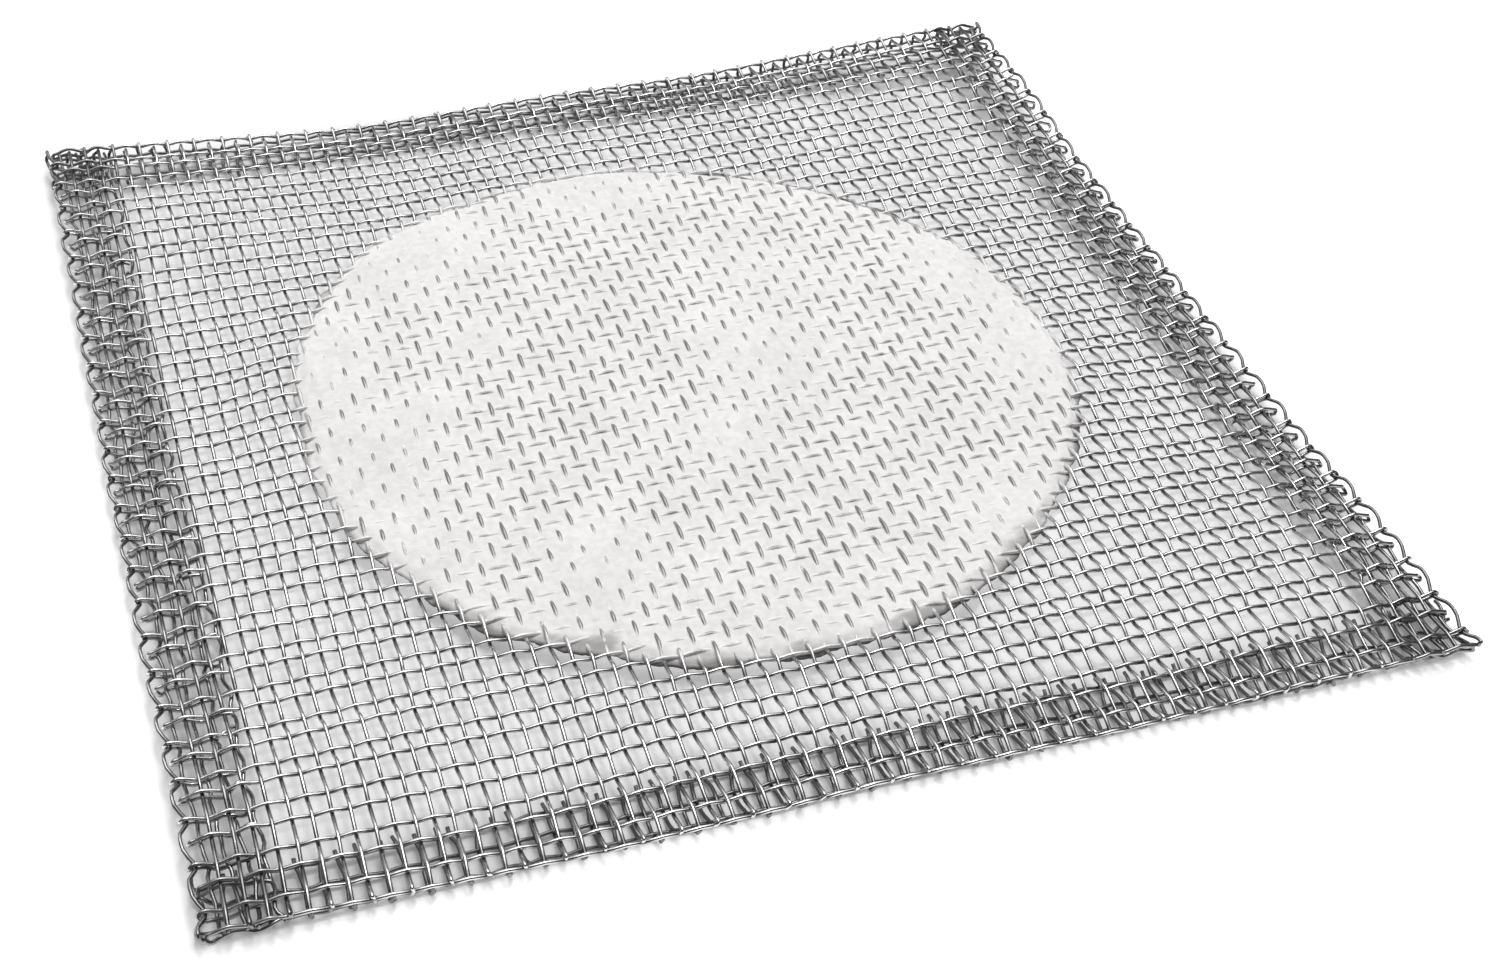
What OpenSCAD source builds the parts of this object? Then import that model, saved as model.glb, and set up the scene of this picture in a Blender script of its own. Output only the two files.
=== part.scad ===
// Laboratory wire gauze: a square of plain-woven crimped wire, folded under along
// all four edges, with a flat ceramic disc moulded through the middle of the mesh.
// X runs along the front edge, Y to the back, Z up; it lies on its end flaps at Z = 0.

/* [Gauze] */
// Width across the front edge, over the folds
gauze_w = 125; // [104:1:160]
// Depth from the front edge to the back edge, over the folds
gauze_d = 125; // [104:1:160]

/* [Wire] */
// Diameter of the wire
wire_d = 0.4; // [0.3:0.02:0.5]
// Spacing of the warp wires, which run from front to back
warp_pitch = 1.71; // [1.4:0.01:2.4]
// Spacing of the weft wires, which run from side to side
weft_pitch = 2.44; // [1.8:0.01:3]
// Clearance between two wires where they cross, measured straight down
cross_gap = 0.06; // [0.05:0.01:0.1]
// Share of the crimp that the warp takes: the weft runs straighter
warp_share = 0.7; // [0.5:0.05:0.8]

/* [Hems] */
// Warp wires held in each side flap
side_flap_wires = 4; // [2:1:6]
// Weft wires held in each front or back flap
end_flap_wires = 3; // [2:1:6]
// Shortest straight stretch between the last crossing and a fold
fold_lead = 0.1; // [0.05:0.05:0.5]
// How far a cut wire end sticks out past its last crossing
cut_end = 0.5; // [0.3:0.1:0.8]

/* [Ceramic] */
// Diameter of the ceramic disc
disc_d = 86; // [50:1:90]
// Thickness of the ceramic disc
disc_t = 1.6; // [1.2:0.1:3]
// Offset of the disc to the right of the gauze's middle
disc_x = -0.3; // [-3:0.1:3]
// Offset of the disc to the back of the gauze's middle
disc_y = -1.5; // [-3:0.1:3]
// Ceramic left over the crowns of the wires
crown_skin = 0.04; // [0.03:0.01:0.2]
// Clearance between a wire and the ceramic moulded round it
mould_gap = 0.01; // [0.005:0.005:0.015]

/* [Hidden] */
$fn = 24;
disc_fn = 180;
wire_r = wire_d / 2;
// Lengths that pieces share are kept to a few decimals, so that their end faces meet exactly
function to_place(length, step) = round(length / step) * step;

// Height of each kind of wire over, or under, the middle of its layer where it crosses another
warp_lift = to_place((wire_d + cross_gap) * warp_share, 0.01);
weft_lift = to_place(wire_d + cross_gap - warp_lift, 0.01);
lift = max(warp_lift, weft_lift);
// Drop from the middle of one layer of mesh to the middle of the next
layer = 2 * (warp_lift + weft_lift);
// The side flaps are folded under first, and the end flaps pass under them
side_drop = layer;
end_drop = 2 * layer;
// The wire spreads a little where it is folded, enough to take in the end of a slanting reach
steepest = atan(2 * max(warp_lift / weft_pitch, weft_lift / warp_pitch));
fold_swell = 0.003;
fold_r = ceil(100 * (wire_r / cos(steepest) + fold_swell)) / 100;
// Height of the sheet's middle when it lies on its end flaps
sheet_z = end_drop + lift + fold_r;

// As many wires as fit between the folds, and the straight stretch left beside each fold
function wires_in(size, drop, pitch) = 1 + floor((size - 2 * (fold_lead + drop / 2 + fold_r)) / pitch);
function lead_of(size, drop, pitch, n) = (size - (n - 1) * pitch) / 2 - drop / 2 - fold_r;
warp_n = wires_in(gauze_w, side_drop, warp_pitch);
weft_n = wires_in(gauze_d, end_drop, weft_pitch);
side_lead = lead_of(gauze_w, side_drop, warp_pitch, warp_n);
end_lead = lead_of(gauze_d, end_drop, weft_pitch, weft_n);

disc_top = to_place(lift + wire_r + crown_skin, 0.005);

// Neighbouring wires share a node, a few at a time
warp_per_node = ceil(warp_n / 25);
weft_per_node = ceil(weft_n / 26);
warp_nodes = ceil(warp_n / warp_per_node);
weft_nodes = ceil(weft_n / weft_per_node);
function node_name(kind, k) = str(kind, "_wires_", k < 9 ? "0" : "", k + 1);

steel = [0.6, 0.6, 0.61];
ceramic = [0.94, 0.93, 0.92];

// Place of crossing k along a wire that has n crossings
function at(k, n, pitch) = (k - (n - 1) / 2) * pitch;
// 1 where wire k passes over the wire it meets at crossing m, -1 where it passes under
function side(k, m) = (k + m) % 2 == 0 ? 1 : -1;

// One reach of wire along X, from the crossing at x, height z, towards the next one:
// it slants to the same height on the other side, and is cut square after a span
module reach(x, z, dir, span, pitch) {
    intersection() {
        translate([x + dir * pitch / 2, 0, 0])
            rotate([0, 90 + atan(2 * z * dir / pitch), 0])
            cylinder(r = wire_r, h = pitch + 8 * wire_r, center = true);
        translate([dir > 0 ? x : x - span, -wire_d, -layer])
            cube([span, 2 * wire_d, 2 * layer]);
    }
}

// A crimped run along X from crossing k0 to crossing k1 of n; z0 is its height at crossing 0
module crimped(k0, k1, n, pitch, z0)
    for (k = [k0 : 1 : k1 - 1])
        reach(at(k, n, pitch), z0 * side(k, 0), 1, pitch, pitch);

// A cut end past crossing k
module cut_tip(k, n, pitch, z0, dir)
    reach(at(k, n, pitch), z0 * side(k, 0), dir, cut_end, pitch);

// A U-shaped fold under, past the crossing at x, height z
module fold(x, z, dir, lead, drop) {
    for (leg_z = [z, z - drop])
        translate([dir > 0 ? x : x - lead, 0, leg_z])
            rotate([0, 90, 0])
            cylinder(r = fold_r, h = lead);
    translate([x + dir * lead, 0, z - drop / 2])
        rotate([90, 0, 0])
        rotate([0, 0, -90 * dir])
        rotate_extrude(angle = 180)
        translate([drop / 2, 0])
        circle(r = fold_r);
}

// A whole wire along X: its run, and at each end a fold under and a tail in the flap
module folded_wire(n, pitch, z0, lead, drop, tail_n) {
    crimped(0, n - 1, n, pitch, z0);
    for (dir = [-1, 1]) {
        last = dir > 0 ? n - 1 : 0;
        tip = last - dir * (tail_n - 1);
        fold(at(last, n, pitch), z0 * side(last, 0), dir, lead, drop);
        translate([0, 0, -drop]) {
            crimped(min(last, tip), max(last, tip), n, pitch, z0);
            cut_tip(tip, n, pitch, z0, -dir);
        }
    }
}

// A wire held in a flap, along X, with both ends cut
module flap_wire(n, pitch, z0) {
    crimped(0, n - 1, n, pitch, z0);
    cut_tip(0, n, pitch, z0, -1);
    cut_tip(n - 1, n, pitch, z0, 1);
}

// Places of warp wire i and weft wire j, for a wire drawn along X
module on_warp(i)
    translate([at(i, warp_n, warp_pitch), 0, sheet_z]) rotate([0, 0, 90]) children();
module on_weft(j)
    translate([0, at(j, weft_n, weft_pitch), sheet_z]) children();

// Height of warp wire i, and of weft wire j, where it meets wire 0 of the other kind
function warp_z(i) = warp_lift * side(i, 0);
function weft_z(j) = -weft_lift * side(j, 0);

module warp_wire(i) color(steel)
    on_warp(i) folded_wire(weft_n, weft_pitch, warp_z(i), end_lead, end_drop, end_flap_wires);
module weft_wire(j) color(steel)
    on_weft(j) folded_wire(warp_n, warp_pitch, weft_z(j), side_lead, side_drop, side_flap_wires);

// The short-run wires of one side flap, or of one end flap, from wire number first
module side_flap(first) color(steel)
    for (i = [first : first + side_flap_wires - 1])
        translate([0, 0, -side_drop]) on_warp(i) flap_wire(weft_n, weft_pitch, warp_z(i));
module end_flap(first) color(steel)
    for (j = [first : first + end_flap_wires - 1])
        translate([0, 0, -end_drop]) on_weft(j) flap_wire(warp_n, warp_pitch, weft_z(j));

// Straight channels through the disc, each just roomy enough for its wire's crimp: a slot of
// rectangular section for a warp wire, and a bore of pointed oval section for a weft wire. The
// oval is where two rounds overlap, each set off to its own side by oval_offset.
// off is how far a channel runs from the disc's middle, and mid is where that middle lies along it
slot_w = wire_d + 2 * mould_gap;
slot_h = 2 * (warp_lift + fold_r);
oval_offset = wire_d;
oval_r = sqrt(pow(oval_offset, 2) + pow(weft_lift, 2)) + fold_r;
oval_w = 2 * (oval_r - oval_offset);
function half_chord(off, width) = sqrt(pow(disc_d / 2, 2) - pow(max(0, abs(off) - width / 2), 2));
function through_disc(off, width) = to_place(2 * half_chord(off, width), 1) + 2;
module warp_slot(off)
    if (abs(off) < (disc_d + slot_w) / 2)
        translate([disc_y, 0, 0])
        cube([through_disc(off, slot_w), slot_w, slot_h], center = true);
module oval_half(shift, length)
    translate([disc_x, shift, 0]) rotate([0, 90, 0]) cylinder(r = oval_r, h = length, center = true);
module weft_bore(off)
    if (abs(off) < (disc_d + oval_w) / 2)
        intersection() {
            oval_half(-oval_offset, through_disc(off, oval_w));
            oval_half(oval_offset, through_disc(off, oval_w));
        }

module ceramic_disc() color(ceramic)
    difference() {
        translate([disc_x, disc_y, sheet_z + disc_top - disc_t])
            cylinder(d = disc_d, h = disc_t, $fn = disc_fn);
        for (i = [0 : warp_n - 1])
            on_warp(i) warp_slot(at(i, warp_n, warp_pitch) - disc_x);
        for (j = [0 : weft_n - 1])
            on_weft(j) weft_bore(at(j, weft_n, weft_pitch) - disc_y);
    }

ceramic_disc();
side_flap(0);  // left_hem_wires
side_flap(warp_n - side_flap_wires);  // right_hem_wires
end_flap(0);  // front_hem_wires
end_flap(weft_n - end_flap_wires);  // back_hem_wires
for (k = [0 : warp_nodes - 1])
    for (i = [warp_per_node * k : 1 : min(warp_n, warp_per_node * (k + 1)) - 1])
            warp_wire(i);
for (k = [0 : weft_nodes - 1])
    for (j = [weft_per_node * k : 1 : min(weft_n, weft_per_node * (k + 1)) - 1])
            weft_wire(j);
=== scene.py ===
import math

import bpy
from mathutils import Matrix, Vector


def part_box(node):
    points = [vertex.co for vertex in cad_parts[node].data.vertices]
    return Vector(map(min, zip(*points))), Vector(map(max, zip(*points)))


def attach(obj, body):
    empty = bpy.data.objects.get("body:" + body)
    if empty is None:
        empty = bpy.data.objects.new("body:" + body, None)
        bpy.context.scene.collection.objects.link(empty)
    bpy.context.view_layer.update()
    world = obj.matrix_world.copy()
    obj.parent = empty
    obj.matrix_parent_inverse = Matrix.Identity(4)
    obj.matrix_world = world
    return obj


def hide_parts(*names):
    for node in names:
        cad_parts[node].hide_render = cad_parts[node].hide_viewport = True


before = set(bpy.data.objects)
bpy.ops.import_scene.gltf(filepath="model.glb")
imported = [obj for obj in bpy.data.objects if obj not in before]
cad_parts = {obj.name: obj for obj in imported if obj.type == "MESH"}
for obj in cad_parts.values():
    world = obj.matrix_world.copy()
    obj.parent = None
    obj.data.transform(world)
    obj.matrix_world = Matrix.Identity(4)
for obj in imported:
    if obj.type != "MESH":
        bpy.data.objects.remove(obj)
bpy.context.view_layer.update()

mm = 0.001


def addInput(tree, name, kind, value=None):
    socket = tree.interface.new_socket(name, in_out="INPUT", socket_type="NodeSocket" + kind)
    if value is not None:
        socket.default_value = value


def addOutput(tree, name, kind):
    tree.interface.new_socket(name, in_out="OUTPUT", socket_type="NodeSocket" + kind)


def feed(tree, socket, value):
    if isinstance(value, bpy.types.NodeSocket):
        tree.links.new(value, socket)
    else:
        socket.default_value = value


def calc(tree, operation, *values):
    node = tree.nodes.new("ShaderNodeMath")
    node.operation = operation
    for socket, value in zip(node.inputs, values):
        feed(tree, socket, value)
    return node.outputs[0]


def calcVector(tree, operation, *values):
    node = tree.nodes.new("ShaderNodeVectorMath")
    node.operation = operation
    for socket, value in zip(node.inputs, values):
        feed(tree, socket, value)
    return node.outputs[1 if operation == "DISTANCE" else 0]


def scaled(tree, vector, factor):
    settings = {"operation": "SCALE"}
    return place(tree, "ShaderNodeVectorMath", settings, Vector=vector, Scale=factor).outputs[0]


def mix(tree, factor, first, second):
    node = tree.nodes.new("ShaderNodeMix")
    node.data_type = "RGBA"
    for socket, value in zip((node.inputs[0], node.inputs[6], node.inputs[7]), (factor, first, second)):
        feed(tree, socket, value)
    return node.outputs[2]


# Runs smoothly from one value to another as the input goes from low to high
def ramp(tree, value, low, high, start=0.0, end=1.0):
    node = tree.nodes.new("ShaderNodeMapRange")
    node.interpolation_type = "SMOOTHSTEP"
    for socket, given in zip(node.inputs, (value, low, high, start, end)):
        feed(tree, socket, given)
    return node.outputs[0]


# Smooth noise, from 0 to 1 and mostly near the middle
def mottle(tree, position, scale, seed, detail=1.0):
    node = tree.nodes.new("ShaderNodeTexNoise")
    node.noise_dimensions = "4D"
    for name, value in (("Vector", position), ("W", seed), ("Scale", scale), ("Detail", detail)):
        feed(tree, node.inputs[name], value)
    return node.outputs[0]


def place(tree, kind, settings=None, **inputs):
    node = tree.nodes.new(kind)
    for name, value in (settings or {}).items():
        setattr(node, name, value)
    for name, value in inputs.items():
        feed(tree, node.inputs[name], value)
    return node


# Stores a value with each point
def keep(tree, geometry, name, value):
    node = place(tree, "GeometryNodeStoreNamedAttribute", {"data_type": "FLOAT", "domain": "POINT"},
                 Geometry=geometry, Name=name, Value=value)
    return node.outputs[0]


# The end of each tree that makes a piece
def finishTree(tree, geometry, material):
    realized = place(tree, "GeometryNodeRealizeInstances", Geometry=geometry)
    finished = place(tree, "GeometryNodeSetMaterial", Geometry=realized.outputs[0], Material=material)
    tree.links.new(finished.outputs[0], tree.nodes.new("NodeGroupOutput").inputs["Geometry"])
    return tree


def newMaterial(name):
    material = bpy.data.materials.new(name)
    material.use_nodes = True
    tree = material.node_tree
    return material, tree, tree.nodes["Principled BSDF"]


def addBump(tree, shader, height, finish):
    bump = place(tree, "ShaderNodeBump", Height=height, Strength=finish["bump"],
                 Distance=finish["bumpDepth"])
    tree.links.new(bump.outputs[0], shader.inputs["Normal"])


def groupNode(tree, group, **inputs):
    node = tree.nodes.new("ShaderNodeGroup")
    node.node_tree = group
    for name, value in inputs.items():
        feed(tree, node.inputs[name], value)
    return node


# The sheet of mesh, which lies in the disc a little under its top
discLow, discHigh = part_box("ceramic_disc")
sheet = {
    "middle": discHigh.z - 0.56 * mm,  # height of the mesh's middle where it lies flat
    "hemThickness": 1.84 * mm,  # from the sheet's middle down to the lowest flap's middle
    "hems": (54 * mm, 57 * mm),  # how far out they begin, and where they are whole
    # uneven places of the wires, from handling: how far they are off, and how fast it changes in x and y
    "ripple": {"amount": (0.8 * mm, 0.8 * mm, 0), "scale": (45, 45), "seed": 4.0},
    "rows": {"amount": (0, 0.35 * mm, 0), "scale": (10, 330), "seed": 5.0},
    "columns": {"amount": (0.3 * mm, 0, 0), "scale": (420, 10), "seed": 6.0},
    "flaps": {"amount": (0.9 * mm, 0.9 * mm, 0), "scale": (290, 290), "seed": 7.0},
    "layerScale": 900,  # how fast it changes from the sheet down to the flaps
    "flapDepths": (0.3 * mm, 0.6 * mm),  # depth where a wire begins to be a flap's, and where it is
    "endFlapDepths": (0.9 * mm, 1.3 * mm),  # the same for the front and back flaps, the lowest
    "endFlapShare": 0.45,  # how much of the flaps' unevenness those two have
    "pairing": 0.2 * mm,  # how far two neighbouring weft wires are drawn together
    # what moves the last weft wires towards the folds, and the sheet down onto its pressed hems:
    # how far out it begins and is whole, and the shift at each
    "frontCrowding": (47 * mm, 61 * mm, 0.0, -1.0 * mm),
    "backCrowding": (55 * mm, 60 * mm, 0.0, -0.3 * mm),
    "sag": (46 * mm, 60 * mm, 0.0, 0.4 * mm),
    # where handling has bent the sheet: place and radius, and how far it moved there, in mm
    "bends": (
        {"at": (-62, -62), "radius": 42, "move": (0, 0, 0.8)},
        {"at": (62, -62), "radius": 42, "move": (0, 0, 0.8)},
        {"at": (-62, 62), "radius": 40, "move": (0, -0.3, 1.5)},
        {"at": (62, 62), "radius": 46, "move": (-0.7, 0, 2.6)},
        {"at": (-26, 64), "radius": 42, "move": (0, -0.9, -0.4)},
        {"at": (6, -64), "radius": 44, "move": (0, 0.5, 0)},
        {"at": (10, 64), "radius": 50, "move": (0, 0.5, 0)},
        {"at": (64, -8), "radius": 36, "move": (0.3, 0, -0.3)},
        {"at": (-64, -10), "radius": 40, "move": (-0.3, 0, -0.3)},
        {"at": (-52, 12), "radius": 30, "move": (0, -1.1, 0)},
        {"at": (54, -24), "radius": 34, "move": (0, -0.8, 0)},
    ),
}

# Moves a flat, even sheet's points to where handling has left them
def buildHandledSheet():
    tree = bpy.data.node_groups.new("Handled Sheet", "GeometryNodeTree")
    addInput(tree, "Position", "Vector")
    addInput(tree, "Layer", "Float")
    addOutput(tree, "Position", "Vector")
    given = tree.nodes.new("NodeGroupInput").outputs
    result = tree.nodes.new("NodeGroupOutput").inputs
    position = given["Position"]
    x, y, _ = place(tree, "ShaderNodeSeparateXYZ", Vector=position).outputs
    deep = calc(tree, "MULTIPLY", given["Layer"], sheet["layerScale"])

    def drift(kind):
        scaleX, scaleY = sheet[kind]["scale"]
        at = place(tree, "ShaderNodeCombineXYZ", X=calc(tree, "MULTIPLY", x, scaleX),
                   Y=calc(tree, "MULTIPLY", y, scaleY), Z=deep).outputs[0]
        texture = place(tree, "ShaderNodeTexNoise", {"noise_dimensions": "4D"},
                        Vector=at, W=sheet[kind]["seed"], Scale=1.0, Detail=1.0)
        centred = calcVector(tree, "SUBTRACT", texture.outputs["Color"], (0.5, 0.5, 0.5))
        return calcVector(tree, "MULTIPLY", centred, tuple(2 * amount for amount in sheet[kind]["amount"]))

    # the last weft wires lie close to the folds, and the others in loose pairs
    farOut = ramp(tree, calc(tree, "MULTIPLY", y, -1.0), *sheet["frontCrowding"])
    farOut = calc(tree, "ADD", farOut, ramp(tree, y, *sheet["backCrowding"]))
    turned = calc(tree, "COSINE", calc(tree, "MULTIPLY", y, math.pi / weft["pitch"]))
    paired = calc(tree, "MULTIPLY_ADD", turned, -sheet["pairing"], farOut)
    spread = place(tree, "ShaderNodeCombineXYZ", Y=paired).outputs[0]
    sag = ramp(tree, calc(tree, "ABSOLUTE", y), *sheet["sag"])

    # a flap's wires lie less true than the sheet's
    isFlap = ramp(tree, given["Layer"], *sheet["flapDepths"])
    endFlap = ramp(tree, given["Layer"], *sheet["endFlapDepths"], 1.0, sheet["endFlapShare"])
    isFlap = calc(tree, "MULTIPLY", isFlap, endFlap)
    isFlap = place(tree, "ShaderNodeCombineXYZ", X=isFlap, Y=isFlap, Z=isFlap).outputs[0]
    stray = calcVector(tree, "MULTIPLY", drift("flaps"), isFlap)

    # bends reach everything outside the disc, which holds the mesh flat
    flat = calcVector(tree, "MULTIPLY", position, (1, 1, 0))
    fromDisc = calcVector(tree, "DISTANCE", flat, disc["center"] * Vector((1, 1, 0)))
    free = ramp(tree, fromDisc, *fromRim(*disc["grip"]))
    bent = (0, 0, 0)
    for bend in sheet["bends"]:
        middle = Vector((*bend["at"], 0)) * mm
        away = calcVector(tree, "DISTANCE", flat, middle)
        nearness = ramp(tree, away, 0.0, bend["radius"] * mm, 1.0, 0.0)
        bent = calcVector(tree, "ADD", bent, scaled(tree, Vector(bend["move"]) * mm, nearness))
    bentX, bentY, bentZ = place(tree, "ShaderNodeSeparateXYZ", Vector=scaled(tree, bent, free)).outputs
    bentZ = calc(tree, "SUBTRACT", bentZ, sag)
    # where the sheet sags, its hem is pressed thinner, and the lowest flap stays on the table
    sagging = calc(tree, "MINIMUM", bentZ, 0.0)
    pressed = calc(tree, "MULTIPLY", calc(tree, "DIVIDE", given["Layer"], -sheet["hemThickness"]), sagging)
    bentZ = calc(tree, "ADD", bentZ, pressed)
    bent = place(tree, "ShaderNodeCombineXYZ", X=bentX, Y=bentY, Z=bentZ).outputs[0]

    moved = position
    for part in (drift("ripple"), drift("rows"), drift("columns"), spread, stray, bent):
        moved = calcVector(tree, "ADD", moved, part)
    tree.links.new(moved, result["Position"])
    return tree


# Warp wires run from front to back, and weft wires from side to side
warp = {
    "name": "warp", "alongY": True, "count": 73, "perNode": 3, "pitch": 1.71 * mm,
    "crossings": 51, "crossingPitch": 2.44 * mm,
    "crimp": 0.32 * mm,  # how far a crown rises over the middle of the sheet
    "side": 0,  # 0 where the first wire goes over the first one that it meets, 1 where it goes under
    "rings": 5,  # points from one crossing to the next
    "drop": 1.84 * mm,  # depth of its flap
    "bulge": 0.8 * mm,  # how far a fold sticks out
    "held": 2,  # crossings from the fold to the last wire in the flap
    "scallop": 0.75 * mm,  # how far the outermost wire bows out between the folds that hold it in
    "frontShare": 0.45,  # how far the folds stick out in front, as a share of those at the back
    "frontTuck": 1.5 * mm,  # how far the front flap is pushed in under the sheet
    "hemCrimp": 1.0,  # how much deeper the crimp is in the hems
    "edgeCrimp": 0.5,  # how much of its crimp a wire keeps along the edges beside it
    "hook": 0.4 * mm,  # how far the cut ends are bent up and aside
    "flapTip": 0.1,  # length of a flap wire's cut end past its last crossing, in crossings
}
weft = {
    "name": "weft", "alongY": False, "count": 51, "perNode": 2, "pitch": 2.44 * mm,
    "crossings": 73, "crossingPitch": 1.71 * mm,
    "crimp": 0.11 * mm, "side": 1, "rings": 4, "drop": 0.72 * mm, "bulge": 0.5 * mm, "held": 3,
    "scallop": 0.1 * mm, "frontShare": 1.0, "frontTuck": 0.0, "hemCrimp": 2.3, "edgeCrimp": 1.0,
    "hook": 0.7 * mm, "flapTip": 0.4,
}

# The wires that lie whole in a flap, and how far the flap is off the wires over it
hems = (
    {"name": "leftHemWires", "node": "left_hem_wires", "family": warp,
     "first": 0, "count": 4, "layer": weft["drop"], "aside": 0.85 * mm},
    {"name": "rightHemWires", "node": "right_hem_wires", "family": warp,
     "first": warp["count"] - 4, "count": 4, "layer": weft["drop"], "aside": -0.85 * mm},
    {"name": "frontHemWires", "node": "front_hem_wires", "family": weft,
     "first": 0, "count": 3, "layer": warp["drop"], "aside": 1.5 * mm},
    {"name": "backHemWires", "node": "back_hem_wires", "family": weft,
     "first": weft["count"] - 3, "count": 3, "layer": warp["drop"], "aside": 1.4 * mm},
)

# Lengths along a wire are in crossings
drawnWire = {
    "diameter": 0.40 * mm,
    "sides": 8,
    "turn": 2.0,  # length of a fold
    "tip": 0.4,  # length of a cut end past its last crossing
    "bentTip": 1.3,  # length of the bent stretch at a cut end
    "tipRise": 0.7,  # how far a cut end is bent up, as a share of its hook
    "tipVariety": 2.3,  # how the sideways bend differs from one wire to the next
    "sharpness": 0.85,  # how tightly a crimp bends at its crown
    "ringCrowding": 0.4,  # how much closer together the points are at the crowns
    "drawnBack": 0.6,  # how much less every second fold sticks out, under the wire that it holds
}


# Weaves a few neighbouring wires. Distances along a wire are counted in crossings
def buildWovenWires(handledSheet):
    tree = bpy.data.node_groups.new("Woven Wires", "GeometryNodeTree")
    for name, kind in (
        ("First Wire", "Int"), ("Wires", "Int"), ("Wire Count", "Int"), ("Wire Pitch", "Float"),
        ("Crossings", "Int"), ("Crossing Pitch", "Float"), ("Crimp", "Float"), ("Side", "Int"),
        ("Rings", "Int"), ("Loose End", "Float"), ("Folded Length", "Float"), ("Turn", "Float"),
        ("Bulge", "Float"), ("Front Share", "Float"), ("Front Tuck", "Float"), ("Scallop", "Float"),
        ("Hem Crimp", "Float"), ("Edge Crimp", "Float"), ("Hook", "Float"), ("Aside", "Float"),
        ("Drop", "Float"), ("Layer", "Float"), ("Middle", "Float"),
        ("Along Y", "Bool"), ("Diameter", "Float"), ("Sides", "Int"), ("Material", "Material"),
    ):
        addInput(tree, name, kind)
    addOutput(tree, "Geometry", "Geometry")
    given = tree.nodes.new("NodeGroupInput").outputs

    # how many points a wire has, and which wire and which point this one is
    lastCrossing = calc(tree, "SUBTRACT", given["Crossings"], 1)
    pastEnd = calc(tree, "ADD", given["Loose End"], given["Folded Length"])
    length = calc(tree, "MULTIPLY_ADD", pastEnd, 2, lastCrossing)
    pointsEach = calc(tree, "ADD", calc(tree, "ROUND", calc(tree, "MULTIPLY", length, given["Rings"])), 1)
    index = tree.nodes.new("GeometryNodeInputIndex").outputs[0]
    wireHere = calc(tree, "FLOOR", calc(tree, "DIVIDE", calc(tree, "ADD", index, 0.5), pointsEach))
    point = calc(tree, "SUBTRACT", index, calc(tree, "MULTIPLY", wireHere, pointsEach))
    wireNumber = calc(tree, "ADD", wireHere, given["First Wire"])

    # the point's place along its wire, with the rings drawn together at the crowns
    even = calc(tree, "SUBTRACT", calc(tree, "DIVIDE", point, given["Rings"]), pastEnd)
    easing = calc(tree, "SINE", calc(tree, "MULTIPLY", even, 2 * math.pi))
    run = calc(tree, "MULTIPLY_ADD", easing, -drawnWire["ringCrowding"] / (2 * math.pi), even)

    # past each end it goes round the fold and comes back under the sheet
    endCrossing = calc(tree, "ADD", lastCrossing, given["Loose End"])
    startCrossing = calc(tree, "MULTIPLY", given["Loose End"], -1)

    # the angle it has gone round a fold, and how far it has come back since
    def pastFold(first, second):
        over = calc(tree, "MAXIMUM", calc(tree, "SUBTRACT", first, second), 0)
        turned = calc(tree, "DIVIDE", calc(tree, "MINIMUM", over, given["Turn"]), given["Turn"])
        back = calc(tree, "MAXIMUM", calc(tree, "SUBTRACT", over, given["Turn"]), 0)
        return calc(tree, "MULTIPLY", turned, math.pi), back

    roundEnd, backEnd = pastFold(run, endCrossing)
    roundStart, backStart = pastFold(startCrossing, run)
    within = calc(tree, "MINIMUM", calc(tree, "MAXIMUM", run, startCrossing), endCrossing)
    crossing = calc(tree, "ADD", calc(tree, "SUBTRACT", within, backEnd), backStart)

    # the crimp: over one wire and under the next
    phase = calc(tree, "ADD", calc(tree, "ADD", crossing, wireNumber), given["Side"])
    wave = calc(tree, "COSINE", calc(tree, "MULTIPLY", phase, math.pi))
    sharp = drawnWire["sharpness"]
    shaped = calc(tree, "ARCSINE", calc(tree, "MULTIPLY", wave, sharp))
    shaped = calc(tree, "DIVIDE", shaped, math.asin(sharp))

    # a wire that ends under the outermost one folds beneath it, and the next one folds round it
    overness = calc(tree, "MULTIPLY_ADD", shaped, 0.5, 0.5)
    underness = calc(tree, "SUBTRACT", 1.0, overness)
    reach = calc(tree, "MULTIPLY_ADD", underness, -drawnWire["drawnBack"], 1)
    reach = calc(tree, "MULTIPLY", given["Bulge"], reach)
    atStart = calc(tree, "MULTIPLY", calc(tree, "SINE", roundStart), given["Front Share"])
    outward = calc(tree, "SUBTRACT", calc(tree, "SINE", roundEnd), atStart)
    tucked = calc(tree, "MULTIPLY_ADD", calc(tree, "COSINE", roundStart), -0.5, 0.5)
    half = calc(tree, "MULTIPLY", lastCrossing, 0.5)
    alongWire = calc(tree, "MULTIPLY", calc(tree, "SUBTRACT", crossing, half), given["Crossing Pitch"])
    alongWire = calc(tree, "ADD", alongWire, calc(tree, "MULTIPLY", reach, outward))
    alongWire = calc(tree, "MULTIPLY_ADD", tucked, given["Front Tuck"], alongWire)
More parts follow.
